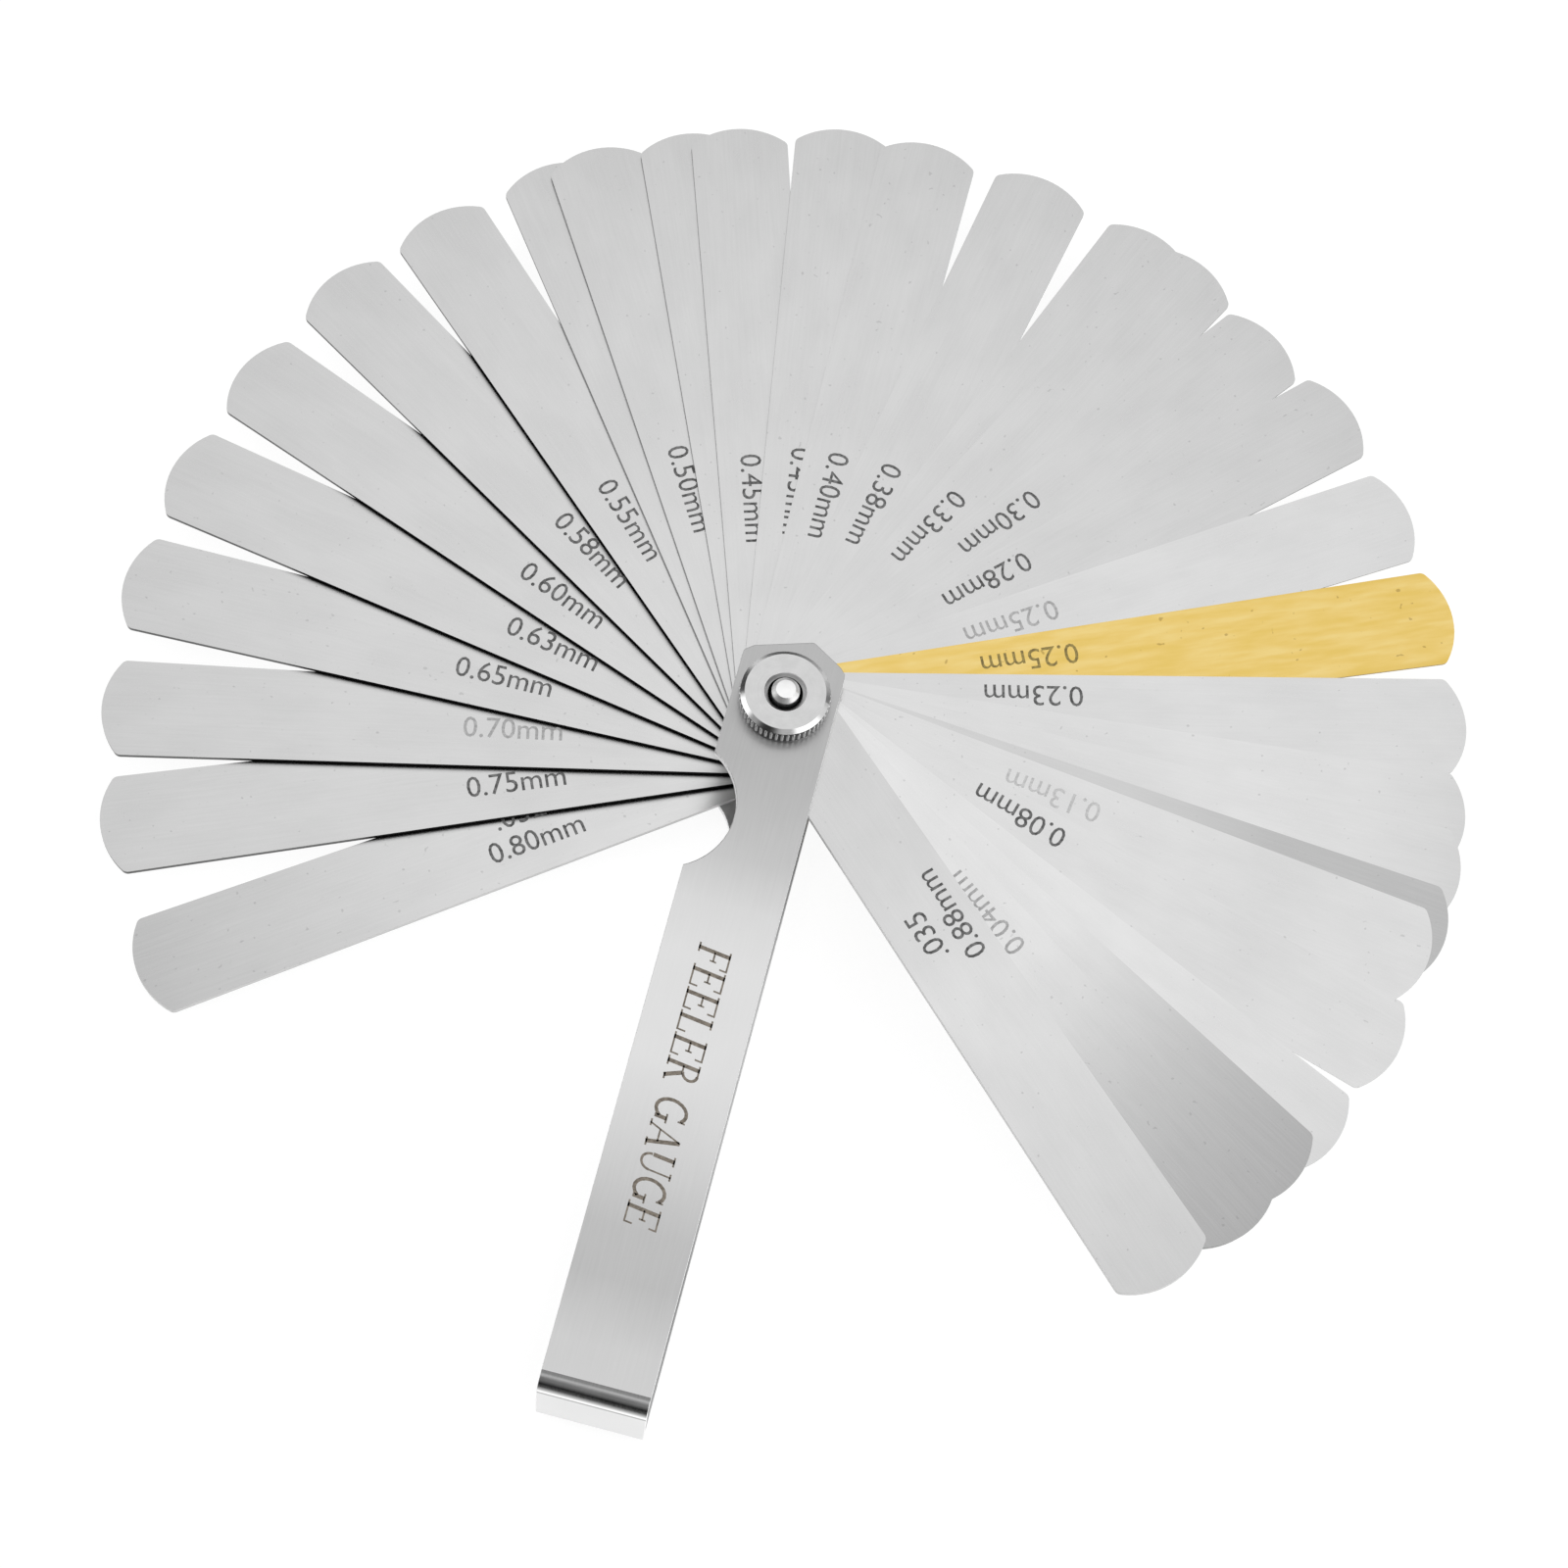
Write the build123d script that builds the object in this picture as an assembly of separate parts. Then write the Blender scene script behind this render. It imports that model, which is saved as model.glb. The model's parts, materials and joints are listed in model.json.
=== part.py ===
"""Feeler gauge: thirty-two blades fanned out on one stud, in a bent steel case with a thumb nut.

The gauge lies on its back. +Z points from the stud's head to the thumb nut, the case runs
along -Y, and the origin is on the stud's axis, on the flat bottom of its head.
"""
from build123d import *
import os
from math import sqrt

# ---- driving dimensions, millimetres and degrees ----

# Blades, from the back plate to the front plate: node name, thickness, the direction that the
# blade points in, counter-clockwise from +X, and its reach from the stud's axis to the middle of
# its tip. The case points in direction -90.
BLADES = [
    ("blade_0_80", 0.80, 216.8, 86.9),
    ("blade_0_75", 0.75, 203.7, 87.1),
    ("blade_0_70", 0.70, 193.0, 86.7),
    ("blade_0_65", 0.65, 181.2, 87.0),
    ("blade_0_63", 0.63, 170.1, 87.0),
    ("blade_0_60", 0.60, 158.9, 87.0),
    ("blade_0_58", 0.58, 147.5, 87.5),
    ("blade_0_55", 0.55, 136.7, 87.1),
    ("blade_0_53", 0.53, 125.6, 87.3),
    ("blade_0_50", 0.50, 121.1, 87.6),
    ("blade_0_48", 0.48, 112.6, 87.4),
    ("blade_0_45", 0.45, 107.9, 87.4),
    ("blade_0_43", 0.43, 98.4, 87.8),
    ("blade_0_40", 0.40, 90.6, 87.7),
    ("blade_0_38", 0.38, 79.8, 87.9),
    ("blade_0_35", 0.35, 68.5, 88.0),
    ("blade_0_33", 0.33, 64.0, 88.1),
    ("blade_0_30", 0.30, 54.6, 87.0),
    ("blade_0_28", 0.28, 45.3, 88.5),
    ("blade_0_25", 0.25, 34.6, 88.1),
    ("brass_blade_0_25", 0.25, 24.5, 88.8),
    ("blade_0_23", 0.23, 14.3, 88.1),
    ("blade_0_20", 0.20, 5.5, 88.0),
    ("blade_0_18", 0.18, 0.3, 88.3),
    ("blade_0_15", 0.15, -5.1, 88.3),
    ("blade_0_13", 0.13, -7.5, 87.1),
    ("blade_0_08", 0.08, -16.2, 88.3),
    ("blade_0_10", 0.10, -25.8, 88.1),
    ("blade_0_06", 0.06, -30.5, 87.5),
    ("blade_0_05", 0.05, -36.0, 88.0),
    ("blade_0_04", 0.04, -35.7, 88.1),
    ("blade_0_88", 0.88, -43.5, 87.8),
]
blade_hub_width = 10.6        # at the stud, where the sides start
blade_tip_width = 13.1        # at the corners of the tip
blade_tip_radius = 10.0
blade_corner_radius = 1.0
blade_gap = 0.03              # between neighbouring blades, and to each plate

stud_radius = 1.8
stud_running_clearance = 0.05
stud_tight_clearance = 0.02
head_radius = 4.5
head_thickness = 1.2
head_edge = 0.3
stud_end_radius = 1.25
stud_end_bevel = 0.6
stud_dome_height = 0.15
stud_end_above_nut = 1.0      # top of the dome over the nut's face

plate_thickness = 1.0
case_width = 13.4
case_end = 92.8               # stud axis to the outside of the bent end
bend_outer_radius = 2.15
case_edge_radius = 0.1
# The head of both plates, seen from the front: a long slope up to an off-centre crown and a
# short slope down, with small cut corners.
crown_x = 1.8
crown_y = 8.8
left_cut_x = -5.5
left_cut_y = 6.4
left_side_top = 5.4
right_cut_x = 5.9
right_cut_y = 6.3
right_side_top = 5.4
head_corner_radius = 0.8
# Thumb notch in the left edge of both plates: a circle centred outside the edge.
notch_radius = 9.0
notch_centre_from_edge = 4.45
notch_centre_y = -17.0

nut_radius = 5.7
nut_thickness = 2.8
nut_face_radius = 5.15
nut_face_bevel = 0.45
nut_seat_bevel = 0.3
nut_counterbore_radius = 2.2
nut_counterbore_depth = 1.1
nut_counterbore_bevel = 0.5

# ---- levels along the stud ----

back_plate_bottom = head_thickness
stack_bottom = back_plate_bottom + plate_thickness
stack_height = sum(thickness for _, thickness, _, _ in BLADES) + blade_gap * (len(BLADES) + 1)
stack_top = stack_bottom + stack_height
case_top = stack_top + plate_thickness
nut_bottom = case_top + blade_gap
nut_top = nut_bottom + nut_thickness


def cylinder(radius, bottom, top):
    """A cylinder on the stud's axis between two levels."""
    return Pos(0, 0, bottom) * Cylinder(radius, top - bottom, align=(Align.CENTER, Align.CENTER, Align.MIN))


def cone(bottom_radius, top_radius, bottom, top):
    """A cone frustum on the stud's axis between two levels."""
    frustum = Cone(bottom_radius, top_radius, top - bottom, align=(Align.CENTER, Align.CENTER, Align.MIN))
    return Pos(0, 0, bottom) * frustum


def blade_face(reach):
    """One blade's tapered outline, pointing along +X, with its stud hole at the origin."""
    hub = blade_hub_width / 2
    tip = blade_tip_width / 2
    corner_x = reach - blade_tip_radius + sqrt(blade_tip_radius**2 - tip**2)
    outline = [
        Line((0, hub), (corner_x, tip)),
        ThreePointArc((corner_x, tip), (reach, 0), (corner_x, -tip)),
        Line((corner_x, -tip), (0, -hub)),
        ThreePointArc((0, -hub), (-hub, 0), (0, hub)),
    ]
    face = make_face(outline)
    face = fillet(face.vertices().sort_by(Axis.X)[-2:], blade_corner_radius)
    return face - Circle(stud_radius + stud_running_clearance)


def blade(thickness, direction, reach, bottom):
    """A blade turned to its place in the fan, resting at its own level in the stack."""
    return Pos(0, 0, bottom) * (Rot(0, 0, direction) * extrude(blade_face(reach), thickness))


def plate_face():
    """The outline that the front and back plates share, seen from the front."""
    half = case_width / 2
    head = Polyline(
        (-half, -case_end),
        (-half, left_side_top),
        (left_cut_x, left_cut_y),
        (crown_x, crown_y),
        (right_cut_x, right_cut_y),
        (half, right_side_top),
        (half, -case_end),
        close=True,
    )
    face = make_face(head)
    face = fillet(face.vertices().filter_by(lambda v: v.Y > 0), head_corner_radius)
    notch = Pos(-half - notch_centre_from_edge, notch_centre_y) * Circle(notch_radius)
    return face - notch


def strip_profile():
    """The bent strip seen from the side: two plates joined by the end, drawn in the YZ plane."""
    room_y = crown_y + plate_thickness
    mid_y = (room_y - case_end) / 2
    mid_z = (back_plate_bottom + case_top) / 2
    outside = Pos(mid_y, mid_z) * Rectangle(room_y + case_end, case_top - back_plate_bottom)
    inside_length = room_y + case_end - plate_thickness
    inside = Pos(mid_y + plate_thickness / 2, mid_z) * Rectangle(inside_length, stack_height)
    outside = fillet(outside.vertices().sort_by(Axis.X)[:2], bend_outer_radius)
    inside = fillet(inside.vertices().sort_by(Axis.X)[:2], bend_outer_radius - plate_thickness)
    return outside - inside


def case():
    """The case: one strip of sheet bent into a squared U, notched for the thumb."""
    # Plane.YZ has its own x along +Y and its own y along +Z.
    strip = extrude(Plane.YZ * strip_profile(), case_width, both=True)
    plates = extrude(plate_face(), case_top)
    body = strip & plates
    # Ease the rims that the outline cuts: the level edges, but not the bend's own lines across the strip.
    level_edges = body.edges().filter_by(lambda e: abs((e @ 0).Z - (e @ 1).Z) < 1e-6)
    rims = level_edges.filter_by(lambda e: abs((e @ 0).X - (e @ 1).X) < case_width * 0.9)
    body = fillet(rims, case_edge_radius)
    body -= cylinder(stud_radius + stud_tight_clearance, 0, stack_bottom)
    body -= cylinder(stud_radius + stud_running_clearance, stack_top, nut_bottom)
    return body


def pivot_stud():
    """The stud: a flat round head under the back plate, a plain shank and a bevelled, domed end."""
    end_top = nut_top + stud_end_above_nut
    bevel_top = end_top - stud_dome_height
    bevel_bottom = bevel_top - stud_end_bevel
    head = cylinder(head_radius, 0, head_thickness)
    head = chamfer(head.edges().group_by(Axis.Z)[0], head_edge)
    shank = cylinder(stud_radius, head_thickness, bevel_bottom)
    bevel = cone(stud_radius, stud_end_radius, bevel_bottom, bevel_top)
    ball_radius = (stud_end_radius**2 + stud_dome_height**2) / (2 * stud_dome_height)
    ball = Pos(0, 0, end_top - ball_radius) * Sphere(ball_radius)
    dome = ball & cylinder(stud_end_radius, bevel_top, end_top)
    return head + shank + bevel + dome


def thumb_nut():
    """The round thumb nut: bevelled face, counterbored hole, bevelled seat."""
    nut = cylinder(nut_radius, nut_bottom, nut_top)
    nut = chamfer(nut.edges().group_by(Axis.Z)[0], nut_seat_bevel)
    face_edge = nut.edges().group_by(Axis.Z)[-1]
    nut = chamfer(face_edge, nut_face_bevel, nut_radius - nut_face_radius)
    hole_radius = stud_radius + stud_running_clearance
    nut -= cylinder(hole_radius, nut_bottom, nut_top)
    nut -= cylinder(nut_counterbore_radius, nut_top - nut_counterbore_depth, nut_top)
    bore_edge = nut.edges().group_by(Axis.Z)[-1].sort_by(SortBy.RADIUS)[0]
    nut = chamfer(bore_edge, nut_counterbore_bevel)
    return nut


os.makedirs("parts", exist_ok=True)
export_step(case(), "parts/case.step")
export_step(pivot_stud(), "parts/pivot_stud.step")
export_step(thumb_nut(), "parts/thumb_nut.step")

level = stack_bottom + blade_gap
for name, thickness, direction, reach in BLADES:
    export_step(blade(thickness, direction, reach, level), f"parts/{name}.step")
    level += thickness + blade_gap
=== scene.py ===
"""Looks for the feeler gauge: ground steel and brass blades, satin case, knurled nut, etched markings."""
import json
from math import cos, radians, sin

import bpy
from mathutils import Matrix, Vector


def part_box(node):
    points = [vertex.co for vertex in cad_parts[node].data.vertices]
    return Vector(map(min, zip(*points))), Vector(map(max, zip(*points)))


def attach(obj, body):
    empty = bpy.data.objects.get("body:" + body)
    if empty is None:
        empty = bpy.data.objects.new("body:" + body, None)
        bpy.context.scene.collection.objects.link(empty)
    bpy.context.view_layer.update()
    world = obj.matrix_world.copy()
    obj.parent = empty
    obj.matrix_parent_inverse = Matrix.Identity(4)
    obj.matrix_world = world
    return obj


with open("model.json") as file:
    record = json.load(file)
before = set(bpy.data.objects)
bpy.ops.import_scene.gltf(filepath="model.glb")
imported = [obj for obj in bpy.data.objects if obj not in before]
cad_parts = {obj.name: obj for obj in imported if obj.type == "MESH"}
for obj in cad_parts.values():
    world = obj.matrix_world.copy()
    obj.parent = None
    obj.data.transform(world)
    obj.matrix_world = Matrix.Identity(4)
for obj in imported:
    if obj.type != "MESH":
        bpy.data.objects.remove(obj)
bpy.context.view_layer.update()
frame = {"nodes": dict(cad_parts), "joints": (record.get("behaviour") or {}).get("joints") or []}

MM = 0.001
Z = Vector((0, 0, 1))


# ---------------------------------------------------------------- the frame's own sizes

def low(node):
    """Lowest corner of a CAD node at rest."""
    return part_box(node)[0]


def high(node):
    """Highest corner of a CAD node at rest."""
    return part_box(node)[1]


BLADE_WIDTH = 13.1 * MM
BLADE_REACH = 87.7 * MM
COUNTERBORE_RADIUS = 2.2 * MM
CASE_END = -low("case").y
CASE_TOP = high("case").z
NUT_RADIUS = high("thumb_nut").x
NUT_BOTTOM = low("thumb_nut").z
NUT_TOP = high("thumb_nut").z


def blade_direction(blade):
    """Where a blade points at rest, degrees from +X: its swing starts folded, along -Y."""
    swing = next(j for j in frame["joints"] if j["child"] == blade)
    return -90 - swing["range_deg"][0]


def thickness_text(blade):
    """The metric size in a blade's name, as it is marked: blade_0_80 gives 0.80."""
    whole, hundredths = blade.split("_")[-2:]
    return f"{whole}.{hundredths}"


BLADES = [name for name in frame["nodes"] if "blade" in name]

# Inch sizes marked beside the metric ones.
INCH_TEXT = {
    "0.88": ".035", "0.80": ".032", "0.75": ".030", "0.70": ".028", "0.65": ".026", "0.63": ".025",
    "0.60": ".024", "0.58": ".023", "0.55": ".022", "0.53": ".021", "0.50": ".020", "0.48": ".019",
    "0.45": ".018", "0.43": ".017", "0.40": ".016", "0.38": ".015", "0.35": ".014", "0.33": ".013",
    "0.30": ".012", "0.28": ".011", "0.25": ".010", "0.23": ".009", "0.20": ".008", "0.18": ".007",
    "0.15": ".006", "0.13": ".005", "0.10": ".004", "0.08": ".003", "0.06": ".0025", "0.05": ".002",
    "0.04": ".0015",
}


# ---------------------------------------------------------------- materials

def linear(hex_colour):
    """An sRGB hex colour as linear RGBA."""
    def channel(value):
        return value / 12.92 if value <= 0.04045 else ((value + 0.055) / 1.055) ** 2.4
    digits = hex_colour.lstrip("#")
    return tuple(channel(int(digits[i:i + 2], 16) / 255) for i in (0, 2, 4)) + (1.0,)


def add(tree, kind, settings=None, inputs=None):
    """Adds a node; an input given as a socket is linked, anything else is its value."""
    node = tree.nodes.new(kind)
    for name, value in (settings or {}).items():
        setattr(node, name, value)
    for name, value in (inputs or {}).items():
        if isinstance(value, bpy.types.NodeSocket):
            tree.links.new(value, node.inputs[name])
        else:
            node.inputs[name].default_value = value
    return node


def new_material(name, **shader_values):
    """A material with one Principled shader; returns the material, its tree and the shader."""
    material = bpy.data.materials.new(name)
    material.use_nodes = True
    tree = material.node_tree
    tree.nodes.clear()
    shader = add(tree, "ShaderNodeBsdfPrincipled", inputs=shader_values)
    output = add(tree, "ShaderNodeOutputMaterial")
    tree.links.new(shader.outputs["BSDF"], output.inputs["Surface"])
    return material, tree, shader


def ramp(tree, factor, stops):
    """A colour ramp through (position, hex colour) stops."""
    node = add(tree, "ShaderNodeValToRGB", inputs={"Fac": factor})
    elements = node.color_ramp.elements
    while len(elements) < len(stops):
        elements.new(0.5)
    for element, (position, colour) in zip(elements, stops):
        element.position = position
        element.color = linear(colour)
    return node.outputs["Color"]


def mix(tree, factor, first, second):
    """Mixes two colours by a factor."""
    node = add(tree, "ShaderNodeMix", {"data_type": "RGBA"})
    for socket, value in ((node.inputs[0], factor), (node.inputs[6], first), (node.inputs[7], second)):
        if isinstance(value, bpy.types.NodeSocket):
            tree.links.new(value, socket)
        else:
            socket.default_value = value
    return node.outputs[2]


def scaled_noise(tree, vector, size_mm, detail=2.0, stretch=(1, 1, 1)):
    """Noise whose features are about size_mm across; stretch lengthens them along an axis."""
    scale = [1 / (size_mm * MM * s) for s in stretch]
    mapping = add(tree, "ShaderNodeMapping", inputs={"Vector": vector, "Scale": scale})
    noise = add(tree, "ShaderNodeTexNoise", inputs={"Vector": mapping.outputs["Vector"], "Scale": 1.0,
                                                    "Detail": detail})
    return noise.outputs["Fac"]


def spread(tree, value, low_in, high_in, low_out, high_out):
    """Maps one range of numbers onto another."""
    node = add(tree, "ShaderNodeMapRange", inputs={
        "Value": value, "From Min": low_in, "From Max": high_in, "To Min": low_out, "To Max": high_out})
    return node.outputs["Result"]


# How each blade's grey runs from the stud (0) to the tip (1): the steel's own grey with painted shading,
# lighter or darker along each blade as light would fall on it at its angle.
STEEL_GREYS_AND_SHADING = {
    "even": [(0.0, "#D9D9D9"), (0.23, "#D8D8D8"), (0.51, "#D5D5D5"), (0.74, "#D2D2D2"), (1.0, "#CCCCCC")],
    "lowest": [(0.0, "#DEDEDE"), (0.23, "#DEDEDE"), (0.51, "#D7D7D7"), (0.74, "#CDCDCD"), (1.0, "#BDBDBD")],
    "pale": [(0.0, "#D6D6D6"), (0.51, "#DDDDDD"), (0.74, "#DCDCDC"), (1.0, "#DADADA")],
    "bright": [(0.0, "#DEDEDE"), (0.51, "#DEDEDE"), (0.74, "#E2E2E2"), (0.9, "#DCDCDC"), (1.0, "#D6D6D6")],
    "shaded": [(0.0, "#D6D6D6"), (0.51, "#CFCFCF"), (0.74, "#BFBFBF"), (1.0, "#BBBBBB")],
    "clear": [(0.0, "#DDDDDD"), (0.51, "#E0E0E0"), (0.74, "#DCDCDC"), (1.0, "#DEDEDE")],
    "shim": [(0.0, "#E2E2E2"), (0.51, "#E6E6E6"), (0.74, "#E2E2E2"), (1.0, "#DBDBDB")],
    "thin shim": [
        (0.0, "#E6E6E6"), (0.51, "#E5E5E5"), (0.70, "#CECECE"), (0.85, "#BABABA"), (1.0, "#AEAEAE")],
    "thick": [(0.0, "#D2D2D2"), (0.23, "#D4D4D4"), (0.51, "#E0E0E0"), (0.74, "#D9D9D9"), (1.0, "#CECECE")],
}
BLADE_GREY_AND_SHADING = {
    "blade_0_80": "lowest", "blade_0_25": "pale", "blade_0_23": "pale", "blade_0_20": "bright",
    "blade_0_18": "bright", "blade_0_15": "shaded", "blade_0_13": "clear", "blade_0_08": "clear",
    "blade_0_10": "shim", "blade_0_06": "thin shim", "blade_0_05": "thin shim", "blade_0_04": "thin shim",
    "blade_0_88": "thick",
}


# Sheared edges' colours, painted light: the outermost two blades get a painted highlight where they catch the
# light, and of the others those thicker than so many millimetres are painted this dark as shade.
OUTER_BLADES = ("blade_0_80", "blade_0_88")
OUTER_EDGE_HIGHLIGHT = "#C8C8C8"
INNER_EDGE_SHADES = [(0.54, "#020202"), (0.44, "#303030"), (0.27, "#6A6A6A"), (0.0, "#9A9A9A")]
SHADED_FROM = 0.57            # millimetres; thicker blades are darkened beside the next blade's edge


def painted_edge_tone(blade):
    """The colour painted on a steel blade's sheared edges: painted shade, or a painted highlight on the
    outermost two.
    """
    if blade in OUTER_BLADES:
        return OUTER_EDGE_HIGHLIGHT
    thickness = float(thickness_text(blade))
    return next(tone for least, tone in INNER_EDGE_SHADES if thickness > least)


def along_blade(tree, direction):
    """Object coordinates turned so that X runs along the blade, from the stud to the tip."""
    place = add(tree, "ShaderNodeTexCoord")
    turned = add(tree, "ShaderNodeMapping", {"vector_type": "POINT"}, {
        "Vector": place.outputs["Object"], "Rotation": (0, 0, -radians(direction))})
    return place, turned.outputs["Vector"]


def flat_faces(tree, place):
    """1 on faces that look up or down and 0 on upright ones."""
    facing = add(tree, "ShaderNodeSeparateXYZ", inputs={"Vector": place.outputs["Normal"]})
    upright = add(tree, "ShaderNodeMath", {"operation": "ABSOLUTE"}, {0: facing.outputs["Z"]})
    return spread(tree, upright.outputs[0], 0.4, 0.7, 0.0, 1.0)


def painted_edges(tree, shader, place, flat_colour, painted_edge_hex):
    """The flat faces keep their colour; the sheared edges are matt, painted in the given colour as their
    shade or highlight.
    """
    flat = flat_faces(tree, place)
    tree.links.new(flat, shader.inputs["Metallic"])
    return mix(tree, flat, linear(painted_edge_hex), flat_colour)


def ground_steel(blade):
    """Spring steel strip, ground and tempered: satin grey and faintly mottled, with painted shading along it,
    and matt sheared edges painted as shade or highlight.
    """
    name = f"ground_steel_{thickness_text(blade)}"
    material, tree, shader = new_material(name, Metallic=1.0, Roughness=0.24)
    place, along = along_blade(tree, blade_direction(blade))
    length = add(tree, "ShaderNodeSeparateXYZ", inputs={"Vector": along}).outputs["X"]
    part = spread(tree, length, 0, BLADE_REACH, 0.0, 1.0)
    # The blade's grey with painted shading: it runs lighter or darker along the blade, standing in for how
    # light falls on ground steel at this angle.
    tone = ramp(tree, part, STEEL_GREYS_AND_SHADING[BLADE_GREY_AND_SHADING.get(blade, "even")])
    # Cloudy mottling a few millimetres across, left by tempering.
    cloud = scaled_noise(tree, along, 5.0, 3.0, (2, 1, 1))
    tone = mix(tree, spread(tree, cloud, 0.35, 0.65, 0.0, 0.09), tone, linear("#A8A8A8"))
    # Grinding marks run along the strip; drawn coarser than the real ones so that they show.
    grinding = scaled_noise(tree, along, 0.22, 2.0, (40, 1, 1))
    tone = mix(tree, spread(tree, grinding, 0.3, 0.7, 0.0, 0.05), tone, linear("#FFFFFF"))
    # Scattered pin-prick specks of old oil and rust.
    specks = scaled_noise(tree, along, 0.55, 0.0)
    tone = mix(tree, spread(tree, specks, 0.80, 0.86, 0.0, 0.22), tone, linear("#707070"))
    if float(thickness_text(blade)) > SHADED_FROM and blade != "blade_0_88":
        # A thick blade's dark edge and its image in the polish read as one black line. The satin
        # finish here blurs that image, so the corner is darkened to stand in for it.
        corner = add(tree, "ShaderNodeAmbientOcclusion", {"samples": 8}, {"Distance": 0.9 * MM})
        shade = spread(tree, corner.outputs["AO"], 0.62, 0.92, 1.0, 0.0)
        tone = mix(tree, shade, tone, linear("#0A0A0A"))
    tone = painted_edges(tree, shader, place, tone, painted_edge_tone(blade))
    tree.links.new(tone, shader.inputs["Base Color"])
    rough = spread(tree, cloud, 0.3, 0.7, 0.21, 0.28)
    tree.links.new(rough, shader.inputs["Roughness"])
    bump = add(tree, "ShaderNodeBump", inputs={"Strength": 0.06, "Distance": 0.02 * MM, "Height": grinding})
    tree.links.new(bump.outputs["Normal"], shader.inputs["Normal"])
    return material


def rolled_brass(blade):
    """Rolled brass shim: pale yellow, streaked along its length, deeper yellow at the borders."""
    material, tree, shader = new_material("rolled_brass", Metallic=1.0, Roughness=0.38)
    place, along = along_blade(tree, blade_direction(blade))
    parts = add(tree, "ShaderNodeSeparateXYZ", inputs={"Vector": along})
    streaks = scaled_noise(tree, along, 1.1, 3.0, (6, 1, 1))
    tone = ramp(tree, spread(tree, streaks, 0.32, 0.68, 0.0, 1.0), [
        (0.0, "#EBCB70"), (0.45, "#EFD07C"), (1.0, "#F3D88C")])
    across = add(tree, "ShaderNodeMath", {"operation": "ABSOLUTE"}, {0: parts.outputs["Y"]})
    border = spread(tree, across.outputs[0], 0.43 * BLADE_WIDTH, 0.5 * BLADE_WIDTH, 0.0, 0.5)
    tone = mix(tree, border, tone, linear("#DDB84A"))
    specks = scaled_noise(tree, along, 0.7, 0.0)
    tone = mix(tree, spread(tree, specks, 0.82, 0.86, 0.0, 0.4), tone, linear("#7A5A28"))
    # Painted shade: the sheared edges are painted a dark brass.
    tone = painted_edges(tree, shader, place, tone, "#8A6A20")
    tree.links.new(tone, shader.inputs["Base Color"])
    return material


def satin_sheet():
    """Bright cold-rolled sheet, bent and lightly polished: broad soft bands of painted reflection run across
    it.
    """
    material, tree, shader = new_material("satin_sheet_steel", Metallic=1.0, Roughness=0.24)
    place = add(tree, "ShaderNodeTexCoord")
    parts = add(tree, "ShaderNodeSeparateXYZ", inputs={"Vector": place.outputs["Object"]})
    part = spread(tree, parts.outputs["Y"], 0, -CASE_END, 0.0, 1.0)
    # Painted reflection: the room's light and dark, as the polish would show it, laid along the front plate
    # as bands.
    bands = [
        (0.0, "#B8B8B8"), (0.09, "#B6B6B6"), (0.16, "#BCBCBC"), (0.24, "#C7C7C7"), (0.31, "#DADADA"),
        (0.39, "#E0E0E0"), (0.54, "#E0E0E0"), (0.61, "#D9D9D9"), (0.69, "#CDCDCD"), (0.77, "#BEBEBE"),
        (0.84, "#BCBCBC"), (0.93, "#CFCFCF"),
    ]
    tone = ramp(tree, part, bands)
    # Round the bend the room's reflection is painted as bands across it: the turn from facing up (0) to
    # facing out (1).
    facing = add(tree, "ShaderNodeSeparateXYZ", inputs={"Vector": place.outputs["Normal"]})
    outward = add(tree, "ShaderNodeMath", {"operation": "MULTIPLY"}, {0: facing.outputs["Y"], 1: -1.0})
    turn = add(tree, "ShaderNodeMath", {"operation": "ARCTAN2"}, {
        0: outward.outputs[0], 1: facing.outputs["Z"]})
    round_bend = spread(tree, turn.outputs[0], 0, radians(90), 0.0, 1.0)
    bend = ramp(tree, round_bend, [
        (0.02, "#7C7C7C"), (0.10, "#808080"), (0.18, "#BDBDBD"), (0.36, "#B8B8B8"), (0.50, "#404040"),
        (0.64, "#404040"), (0.80, "#B8B8B8"), (0.93, "#FFFFFF"), (1.0, "#FFFFFF")])
    on_bend = spread(tree, round_bend, 0.015, 0.03, 0.0, 1.0)
    tone = mix(tree, on_bend, tone, bend)
    # The end plate below the bend carries a painted reflection of the floor: a thin line, then light grey
    # down to a darker foot.
    height = spread(tree, parts.outputs["Z"], 0, CASE_TOP, 0.0, 1.0)
    plate = ramp(tree, height, [
        (0.0, "#8C8C8C"), (0.10, "#8C8C8C"), (0.13, "#E4E4E4"), (0.80, "#E4E4E4"), (0.82, "#A0A0A0"),
        (0.84, "#A0A0A0"), (0.855, "#FFFFFF")])
    on_plate = spread(tree, round_bend, 0.985, 0.995, 0.0, 1.0)
    tone = mix(tree, on_plate, tone, plate)
    # The long sheared sides are matt and painted white, a painted highlight that keeps them pale.
    sideways = add(tree, "ShaderNodeMath", {"operation": "ABSOLUTE"}, {0: facing.outputs["X"]})
    side = spread(tree, sideways.outputs[0], 0.5, 0.8, 0.0, 1.0)
    tone = mix(tree, side, tone, linear("#FFFFFF"))
    tree.links.new(spread(tree, side, 0.0, 1.0, 1.0, 0.0), shader.inputs["Metallic"])
    brushing = scaled_noise(tree, place.outputs["Object"], 0.25, 2.0, (1, 30, 1))
    tone = mix(tree, spread(tree, brushing, 0.3, 0.7, 0.0, 0.05), tone, linear("#FFFFFF"))
    tree.links.new(tone, shader.inputs["Base Color"])
    smudges = scaled_noise(tree, place.outputs["Object"], 9.0, 3.0)
    tree.links.new(spread(tree, smudges, 0.35, 0.65, 0.28, 0.36), shader.inputs["Roughness"])
    return material


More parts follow.
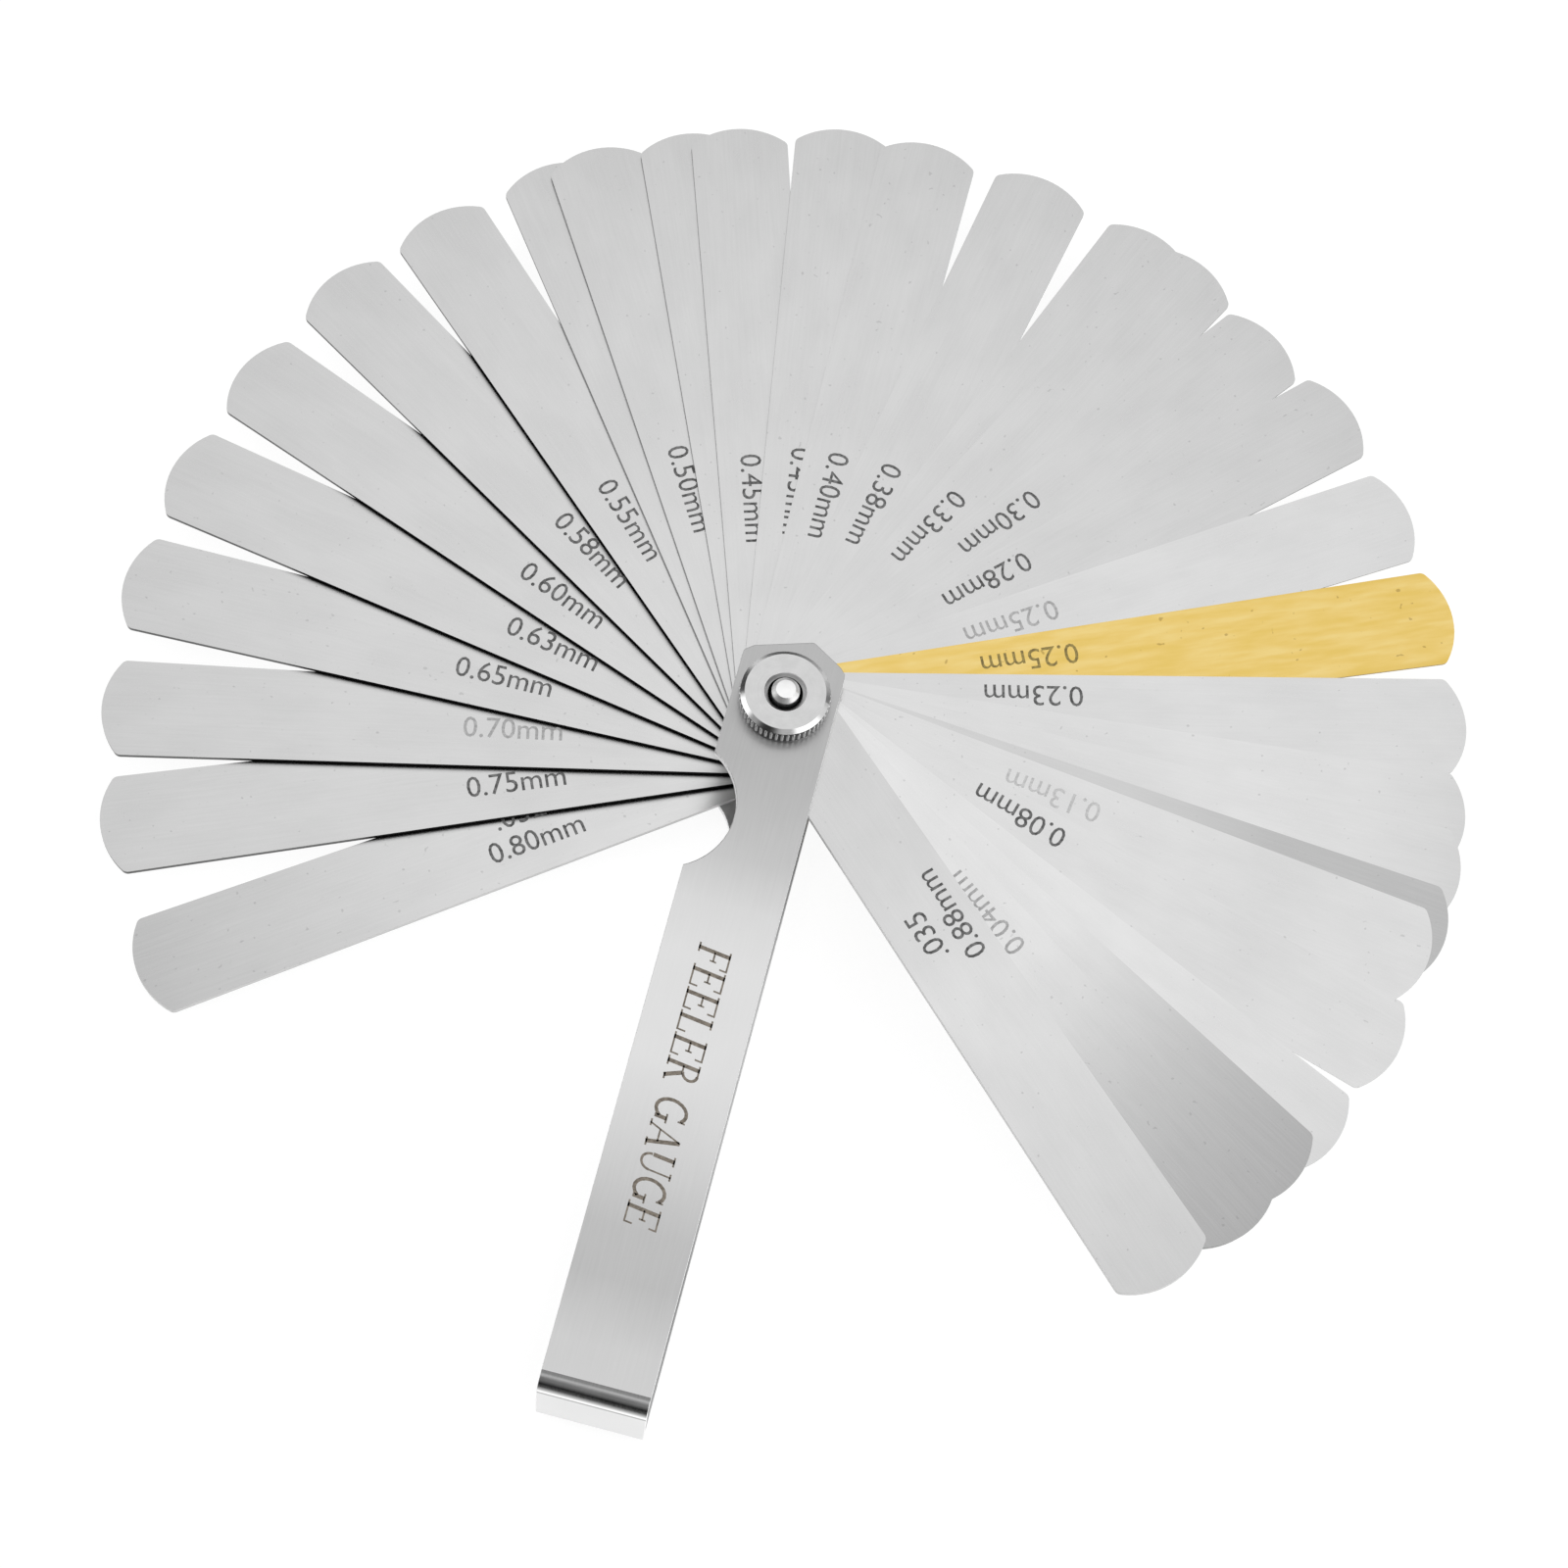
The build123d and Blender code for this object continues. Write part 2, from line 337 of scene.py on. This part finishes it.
def nickel_plate(name, base_hex, roughness, shade_walls_and_hole=False):
    """Bright nickel plate over turned steel: fine turning marks; on the nut, painted shade darkens the
    upright walls, the grooves and the hole.
    """
    material, tree, shader = new_material(name, Metallic=1.0, Roughness=roughness)
    place = add(tree, "ShaderNodeTexCoord")
    parts = add(tree, "ShaderNodeSeparateXYZ", inputs={"Vector": place.outputs["Object"]})
    flat = add(tree, "ShaderNodeCombineXYZ", inputs={"X": parts.outputs["X"], "Y": parts.outputs["Y"]})
    radius = add(tree, "ShaderNodeVectorMath", {"operation": "LENGTH"}, {0: flat.outputs["Vector"]})
    ring = add(tree, "ShaderNodeCombineXYZ", inputs={"X": radius.outputs["Value"]})
    turning = scaled_noise(tree, ring.outputs["Vector"], 0.12, 3.0)
    clouds = scaled_noise(tree, place.outputs["Object"], 1.6, 2.0)
    tone = mix(tree, spread(tree, clouds, 0.35, 0.65, 0.0, 0.12), linear(base_hex), linear("#8C8C8C"))
    tone = mix(tree, spread(tree, turning, 0.35, 0.65, 0.0, 0.10), tone, linear("#FFFFFF"))
    if shade_walls_and_hole:
        # Painted shade: upright walls and grooves near black, and the counterbore darker still, where little
        # light reaches.
        tone = mix(tree, flat_faces(tree, place), linear("#141414"), tone)
        bore = spread(tree, radius.outputs["Value"], COUNTERBORE_RADIUS, 1.01 * COUNTERBORE_RADIUS, 0.0, 1.0)
        tone = mix(tree, bore, linear("#050505"), tone)
    tree.links.new(tone, shader.inputs["Base Color"])
    bump = add(tree, "ShaderNodeBump", inputs={"Strength": 0.15, "Distance": 0.01 * MM, "Height": turning})
    tree.links.new(bump.outputs["Normal"], shader.inputs["Normal"])
    return material


def etched_mark(name, deep_hex, worn_hex):
    """Chemically etched lettering: matt oxide, thinner where the blades have rubbed it."""
    material, tree, shader = new_material(name, Metallic=0.0, Roughness=0.7)
    place = add(tree, "ShaderNodeTexCoord")
    wear = scaled_noise(tree, place.outputs["Object"], 0.45, 2.0)
    tone = mix(tree, spread(tree, wear, 0.35, 0.65, 0.0, 1.0), linear(deep_hex), linear(worn_hex))
    tree.links.new(tone, shader.inputs["Base Color"])
    return material


def dress(node, material):
    """Gives a CAD node one material."""
    slots = frame["nodes"][node].data.materials
    slots.clear()
    slots.append(material)


# ---------------------------------------------------------------- etched and engraved marks

MARK_DEPTH = 0.005 * MM       # how far a mark's face stands off the metal
MARK_SINK = 0.004 * MM        # and how far it reaches into it


def plain_mesh(thing, name):
    """Turns a curve, text or modified object into a plain mesh object at the origin."""
    bpy.context.view_layer.update()
    graph = bpy.context.evaluated_depsgraph_get()
    mesh = bpy.data.meshes.new_from_object(thing.evaluated_get(graph))
    mesh.transform(thing.matrix_world)
    mesh.name = name
    result = bpy.data.objects.new(name, mesh)
    bpy.context.scene.collection.objects.link(result)
    bpy.data.objects.remove(thing)
    return result


def text_object(words, size):
    """A line of plain letters and figures as flat filled text of one font size."""
    curve = bpy.data.curves.new("line", "FONT")
    curve.body = words
    curve.size = size
    curve.resolution_u = 3
    curve.extrude = (MARK_DEPTH + MARK_SINK) / 2
    line = bpy.data.objects.new("line", curve)
    bpy.context.scene.collection.objects.link(line)
    return line


def surface_frame(origin, reading, up):
    """A matrix whose X is the reading direction and whose Y is the letters' up, on a level face."""
    columns = Matrix((reading, up, Z)).transposed().to_4x4()
    return Matrix.Translation(origin + Z * (MARK_DEPTH - MARK_SINK) / 2) @ columns


TEXT_SIZE = 4.0 * MM
# Millimetres from the stud to the metric size's first figure, and from the blade's middle line to its
# foot. Each blade was marked on its own, so the places differ.
METRIC_PLACE = {
    "blade_0_80": (40.4, 2.7), "blade_0_75": (40.7, 2.55), "blade_0_70": (40.6, 1.9),
    "blade_0_65": (42.6, 2.35), "blade_0_63": (37.9, 2.6), "blade_0_60": (40.0, 2.6),
    "blade_0_58": (41.15, 2.15), "blade_0_55": (41.35, 2.3), "blade_0_50": (41.6, 3.0),
    "blade_0_45": (38.15, 2.85), "blade_0_43": (38.95, 2.45), "blade_0_40": (38.8, 2.7),
    "blade_0_38": (39.2, 2.8), "blade_0_33": (39.55, 4.0), "blade_0_30": (46.2, 3.9),
    "blade_0_28": (39.3, 4.0), "blade_0_25": (38.95, 3.45), "brass_blade_0_25": (39.3, 3.6),
    "blade_0_23": (38.7, 4.25), "blade_0_13": (42.3, 3.6), "blade_0_08": (39.3, 4.4),
    "blade_0_04": (43.6, 3.1), "blade_0_88": (41.1, 4.05),
}
USUAL_PLACE = (40.0, 1.5)
# The inch size stands nearer the stud and the blade's other side; on the outermost blades it is higher.
INCH_STEP, INCH_FOOT = -2.2, -2.6
OUTER_INCH_FOOT = {"blade_0_80": -1.3, "blade_0_88": -0.15}


def blade_marks(blade, material):
    """Both sizes etched on a blade, read from the tip towards the stud, feet to the left of its run."""
    turn = radians(blade_direction(blade))
    out = Vector((cos(turn), sin(turn), 0))
    left = Vector((-sin(turn), cos(turn), 0))
    metric = thickness_text(blade)
    start, base = METRIC_PLACE.get(blade, USUAL_PLACE)
    inch_base = OUTER_INCH_FOOT.get(blade, INCH_FOOT)
    lines = [(metric + "mm", start, base), (INCH_TEXT[metric], start + INCH_STEP, inch_base)]
    parts = []
    for words, start, base in lines:
        line = text_object(words, TEXT_SIZE)
        origin = (out * start + left * base) * MM + Z * high(blade).z
        line.matrix_world = surface_frame(origin, -out, -left)
        parts.append(plain_mesh(line, "line"))
    marks = joined(parts, f"marks_{blade}")
    marks.data.materials.clear()
    marks.data.materials.append(material)
    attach(marks, blade)
    return marks


def joined(parts, name):
    """Joins mesh objects that all sit at the origin into one."""
    vertices, faces = [], []
    for part in parts:
        first = len(vertices)
        vertices += [v.co.copy() for v in part.data.vertices]
        faces += [[first + i for i in polygon.vertices] for polygon in part.data.polygons]
        bpy.data.objects.remove(part)
    mesh = bpy.data.meshes.new(name)
    mesh.from_pydata(vertices, [], faces)
    mesh.validate()
    result = bpy.data.objects.new(name, mesh)
    bpy.context.scene.collection.objects.link(result)
    return result


# Serif capitals on a unit cap height: strokes as (width, points). Thick stems, hairlines and slab feet.
STEM, HAIR = 0.125, 0.055


def bow(centre_x, centre_y, radius_x, radius_y, start, end, steps=14):
    """Points along part of an ellipse, angles in degrees."""
    turns = [radians(start + (end - start) * i / steps) for i in range(steps + 1)]
    return [(centre_x + radius_x * cos(t), centre_y + radius_y * sin(t)) for t in turns]


def foot(x, y, reach=0.15):
    """A serif: a short hairline across a stem's end."""
    return (HAIR, [(x - reach, y), (x + reach, y)])


TOP, BOTTOM = 1 - HAIR / 2, HAIR / 2
LETTERS = {
    "F": (0.70, [(STEM, [(0.17, 0), (0.17, 1)]), foot(0.17, BOTTOM),
                 (HAIR, [(0.02, TOP), (0.64, TOP), (0.64, 0.76)]),
                 (HAIR, [(0.17, 0.52), (0.47, 0.52)]), (HAIR, [(0.47, 0.42), (0.47, 0.62)])]),
    "E": (0.76, [(STEM, [(0.17, 0), (0.17, 1)]), (HAIR, [(0.02, TOP), (0.64, TOP), (0.64, 0.76)]),
                 (HAIR, [(0.17, 0.52), (0.47, 0.52)]), (HAIR, [(0.47, 0.42), (0.47, 0.62)]),
                 (HAIR, [(0.02, BOTTOM), (0.68, BOTTOM), (0.68, 0.26)])]),
    "L": (0.72, [(STEM, [(0.17, 0), (0.17, 1)]), foot(0.17, TOP),
                 (HAIR, [(0.02, BOTTOM), (0.64, BOTTOM), (0.64, 0.28)])]),
    "R": (0.80, [(STEM, [(0.17, 0), (0.17, 1)]), foot(0.17, BOTTOM), (HAIR, [(0.02, TOP), (0.36, TOP)]),
                 (STEM * 0.7, bow(0.36, 0.745, 0.21, 0.22, 90, -90)), (HAIR, [(0.36, 0.51), (0.17, 0.51)]),
                 (STEM, [(0.40, 0.51), (0.66, 0.0)]), foot(0.68, BOTTOM, 0.10)]),
    "G": (0.86, [(STEM * 0.85, bow(0.42, 0.5, 0.34, 0.46, 48, 318)), (STEM, [(0.70, 0.06), (0.70, 0.42)]),
                 foot(0.70, 0.42), (HAIR, [(0.66, 0.76), (0.66, 0.98)])]),
    "A": (0.84, [(HAIR, [(0.10, 0), (0.42, 1)]), (STEM, [(0.42, 0.98), (0.70, 0)]),
                 (HAIR, [(0.21, 0.34), (0.60, 0.34)]), foot(0.10, BOTTOM, 0.11), foot(0.70, BOTTOM, 0.13)]),
    "U": (0.84, [(STEM, [(0.17, 1), (0.17, 0.34)]), (STEM * 0.6, bow(0.415, 0.32, 0.245, 0.285, 180, 360)),
                 (HAIR, [(0.66, 0.32), (0.66, 1)]), foot(0.17, TOP), foot(0.66, TOP, 0.11)]),
    " ": (0.42, []),
}


def stroke_faces(width, points):
    """One stroke as a strip of quads, mitred at its bends; returns vertices and faces."""
    points = [Vector(p) for p in points]
    vertices, faces = [], []
    for i, point in enumerate(points):
        before = (point - points[i - 1]).normalized() if i else (points[1] - point).normalized()
        after = (points[i + 1] - point).normalized() if i + 1 < len(points) else before
        middle = (before + after).normalized()
        side = Vector((-middle.y, middle.x)) * width / 2 / max(middle.dot(before), 0.5)
        vertices += [point + side, point - side]
        if i:
            k = 2 * i
            faces.append((k - 2, k - 1, k + 1, k))
    return vertices, faces


CASE_WORDS = "FEELER GAUGE"
CASE_TEXT_START = -34.0 * MM  # from the stud, along the case
CASE_TEXT_END = -71.0 * MM
CASE_TEXT_HEIGHT = 4.2 * MM
CASE_TEXT_LEAN = 0.14


def case_words(material):
    """The words on the front plate, read from the stud to the bend, in leaning serif capitals."""
    run = sum(LETTERS[letter][0] for letter in CASE_WORDS)
    across = (CASE_TEXT_START - CASE_TEXT_END) / run
    vertices, faces, x = [], [], 0.0
    for letter in CASE_WORDS:
        advance, strokes = LETTERS[letter]
        for width, points in strokes:
            stroke, quads = stroke_faces(width, points)
            first = len(vertices)
            for v in stroke:
                vertices.append(((x + v.x + CASE_TEXT_LEAN * v.y) * across, v.y * CASE_TEXT_HEIGHT, 0))
            faces += [[first + i for i in quad] for quad in quads]
        x += advance
    mesh = bpy.data.meshes.new("case_words")
    mesh.from_pydata(vertices, [], faces)
    words = bpy.data.objects.new("case_words", mesh)
    bpy.context.scene.collection.objects.link(words)
    thick = words.modifiers.new("thickness", "SOLIDIFY")
    thick.thickness = MARK_DEPTH + MARK_SINK
    thick.offset = 0
    origin = Vector((-CASE_TEXT_HEIGHT / 2, CASE_TEXT_START, high("case").z))
    words.matrix_world = surface_frame(origin, Vector((0, -1, 0)), Vector((1, 0, 0)))
    words = plain_mesh(words, "case_words")
    words.data.materials.clear()
    words.data.materials.append(material)
    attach(words, "case")
    return words


# ---------------------------------------------------------------- the nut's knurled rim

RIDGES = 50
RIDGE_RADIUS = 0.24 * MM
RIDGE_SINK = 0.08 * MM        # how far a ridge's own axis lies inside the rim
KNURL_FOOT = 0.25 * MM        # plain rim below the knurl
KNURL_HEAD = 0.55 * MM        # bevel and plain rim above it


def knurl_tree():
    """Geometry Nodes: straight ridges standing round a rim, each with tapered ends."""
    tree = bpy.data.node_groups.new("straight_knurl", "GeometryNodeTree")
    for name, kind in (("Rim Radius", "NodeSocketFloat"), ("Ridge Radius", "NodeSocketFloat"),
                       ("Bottom", "NodeSocketFloat"), ("Top", "NodeSocketFloat"),
                       ("Ridges", "NodeSocketInt"), ("Plate", "NodeSocketMaterial")):
        tree.interface.new_socket(name, in_out="INPUT", socket_type=kind)
    tree.interface.new_socket("Geometry", in_out="OUTPUT", socket_type="NodeSocketGeometry")
    given = add(tree, "NodeGroupInput").outputs
    low_end = add(tree, "ShaderNodeCombineXYZ", inputs={"Z": given["Bottom"]})
    high_end = add(tree, "ShaderNodeCombineXYZ", inputs={"Z": given["Top"]})
    line = add(tree, "GeometryNodeCurvePrimitiveLine", inputs={
        "Start": low_end.outputs[0], "End": high_end.outputs[0]})
    spine = add(tree, "GeometryNodeResampleCurve", inputs={"Curve": line.outputs[0], "Count": 9})
    place = add(tree, "GeometryNodeSplineParameter")
    # Full size over the middle, tapering over the last seventh at each end.
    from_middle = add(tree, "ShaderNodeMath", {"operation": "SUBTRACT"}, {0: place.outputs["Factor"], 1: 0.5})
    distance = add(tree, "ShaderNodeMath", {"operation": "ABSOLUTE"}, {0: from_middle.outputs[0]})
    taper = add(tree, "ShaderNodeMapRange", inputs={
        "Value": distance.outputs[0], "From Min": 0.36, "From Max": 0.5, "To Min": 1.0, "To Max": 0.35})
    outline = add(tree, "GeometryNodeCurvePrimitiveCircle", inputs={
        "Resolution": 6, "Radius": given["Ridge Radius"]})
    ridge = add(tree, "GeometryNodeCurveToMesh", inputs={
        "Curve": spine.outputs[0], "Profile Curve": outline.outputs[0], "Scale": taper.outputs["Result"],
        "Fill Caps": True})
    rim = add(tree, "GeometryNodeMeshCircle", inputs={
        "Vertices": given["Ridges"], "Radius": given["Rim Radius"]})
    spots = add(tree, "GeometryNodeInstanceOnPoints", inputs={
        "Points": rim.outputs[0], "Instance": ridge.outputs[0]})
    real = add(tree, "GeometryNodeRealizeInstances", inputs={"Geometry": spots.outputs[0]})
    plated = add(tree, "GeometryNodeSetMaterial", inputs={
        "Geometry": real.outputs[0], "Material": given["Plate"]})
    output = add(tree, "NodeGroupOutput")
    tree.links.new(plated.outputs[0], output.inputs["Geometry"])
    return tree


def nut_knurl(material):
    """The thumb nut's knurl: one ridge every 7.2 degrees, standing a little proud of the grooves."""
    holder = bpy.data.objects.new("holder", bpy.data.meshes.new("holder"))
    bpy.context.scene.collection.objects.link(holder)
    knurl = holder.modifiers.new("knurl", "NODES")
    knurl.node_group = knurl_tree()
    sockets = {item.name: item.identifier for item in knurl.node_group.interface.items_tree
               if item.in_out == "INPUT"}
    values = {
        "Rim Radius": NUT_RADIUS - RIDGE_SINK, "Ridge Radius": RIDGE_RADIUS, "Ridges": RIDGES,
        "Bottom": NUT_BOTTOM + KNURL_FOOT, "Top": NUT_TOP - KNURL_HEAD, "Plate": material,
    }
    for name, value in values.items():
        knurl[sockets[name]] = value
    ridges = plain_mesh(holder, "nut_knurl")
    ridges.data.materials.clear()
    ridges.data.materials.append(material)
    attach(ridges, "thumb_nut")
    return ridges


# ---------------------------------------------------------------- stage, light and camera

FLOOR_HALF_SIDE = 4.0         # metres


def pale_floor():
    """A plain floor under the gauge that glows a little, as a light table does, so shadows stay pale."""
    half = FLOOR_HALF_SIDE
    mesh = bpy.data.meshes.new("floor")
    corners = [(-half, -half, 0), (half, -half, 0), (half, half, 0), (-half, half, 0)]
    mesh.from_pydata(corners, [], [(0, 1, 2, 3)])
    floor = bpy.data.objects.new("floor", mesh)
    bpy.context.scene.collection.objects.link(floor)
    material, _, _ = new_material("matt_white_floor", **{
        "Base Color": linear("#808080"), "Roughness": 0.9, "Emission Color": linear("#FFFFFF"),
        "Emission Strength": 0.86, "Specular IOR Level": 0.0})
    mesh.materials.append(material)


def toward(azimuth, elevation):
    """The direction at an azimuth from +X and an elevation, in degrees."""
    level = cos(radians(elevation))
    return (level * cos(radians(azimuth)), level * sin(radians(azimuth)), sin(radians(elevation)))


# Soft boxes and flags round the gauge: azimuth, elevation, inner and outer edge in degrees, brightness.
PANELS = [
    (60, 10, 16, 34, 0.50),
    (5, 8, 12, 24, 1.0),
    (250, 46, 15, 24, 0.02),
    (188, 32, 14, 24, 2.0),
    (-25, 36, 18, 28, 2.0),
]


def studio_dome():
    """A soft white ceiling that fades to a dark horizon, with soft boxes and a dark flag set into it."""
    world = bpy.data.worlds.new("studio_dome")
    world.use_nodes = True
    bpy.context.scene.world = world
    tree = world.node_tree
    tree.nodes.clear()
    place = add(tree, "ShaderNodeTexCoord")
    parts = add(tree, "ShaderNodeSeparateXYZ", inputs={"Vector": place.outputs["Generated"]})
    glow = spread(tree, parts.outputs["Z"], sin(radians(18)), sin(radians(46)), 0.06, 1.0)
    for azimuth, elevation, inner, outer, brightness in PANELS:
        nearness = add(tree, "ShaderNodeVectorMath", {"operation": "DOT_PRODUCT"}, {
            0: place.outputs["Generated"], 1: toward(azimuth, elevation)})
        inside = spread(tree, nearness.outputs["Value"], cos(radians(outer)), cos(radians(inner)), 0.0, 1.0)
        glow = add(tree, "ShaderNodeMix", {"data_type": "FLOAT"}, {
            0: inside, 2: glow, 3: brightness}).outputs[0]
    path = add(tree, "ShaderNodeLightPath")
    shown = mix(tree, path.outputs["Is Camera Ray"], (1, 1, 1, 1), linear("#F2F2F2"))
    strength = add(tree, "ShaderNodeMix", {"data_type": "FLOAT"}, {
        0: path.outputs["Is Camera Ray"], 2: glow, 3: 1.0})
    background = add(tree, "ShaderNodeBackground", inputs={"Color": shown, "Strength": strength.outputs[0]})
    output = add(tree, "ShaderNodeOutputWorld")
    tree.links.new(background.outputs[0], output.inputs["Surface"])


CAMERA_PLACE = Vector((17.01, -194.33, 467.88)) * MM
CAMERA_AIM = Vector((2.53, -8.01, 9.0)) * MM
CAMERA_ROLL = 10.43           # degrees, the camera's turn about its own line of sight
CAMERA_LENS = 89.36           # millimetres on a 36 mm wide sensor


def camera():
    """Looks down on the gauge from the handle's side."""
    data = bpy.data.cameras.new("camera")
    data.lens = CAMERA_LENS
    data.sensor_width = 36
    data.clip_start = 0.01
    eye = bpy.data.objects.new("camera", data)
    bpy.context.scene.collection.objects.link(eye)
    look = (CAMERA_AIM - CAMERA_PLACE).to_track_quat("-Z", "Y").to_matrix().to_4x4()
    eye.matrix_world = Matrix.Translation(CAMERA_PLACE) @ look @ Matrix.Rotation(radians(CAMERA_ROLL), 4, "Z")
    bpy.context.scene.camera = eye


# ---------------------------------------------------------------- put together

dress("case", satin_sheet())
nut_plate = nickel_plate("bright_nickel_plate", "#D2D2D2", 0.16)
dress("thumb_nut", nickel_plate("bright_nickel_nut", "#D2D2D2", 0.16, shade_walls_and_hole=True))
dress("pivot_stud", nickel_plate("polished_stud_end", "#FFFFFF", 0.36))
for blade in BLADES:
    dress(blade, rolled_brass(blade) if "brass" in blade else ground_steel(blade))

steel_mark = etched_mark("etched_oxide", "#484848", "#7C7C7C")
faint_mark = etched_mark("faint_etched_oxide", "#A4A4A4", "#BEBEBE")
worn_mark = etched_mark("nearly_worn_oxide", "#BEBEBE", "#D2D2D2")
brass_mark = etched_mark("etched_brass", "#7A6A3C", "#A89452")
FAINT = {"blade_0_70", "blade_0_25", "blade_0_15", "blade_0_04"}
VERY_FAINT = {"blade_0_13"}
for blade in BLADES:
    mark = steel_mark
    if "brass" in blade:
        mark = brass_mark
    elif blade in FAINT:
        mark = faint_mark
    elif blade in VERY_FAINT:
        mark = worn_mark
    blade_marks(blade, mark)
case_words(etched_mark("engraved_words", "#6A6258", "#8E857A"))
nut_knurl(nut_plate)

pale_floor()
studio_dome()
camera()
bpy.context.scene.view_settings.view_transform = "Standard"
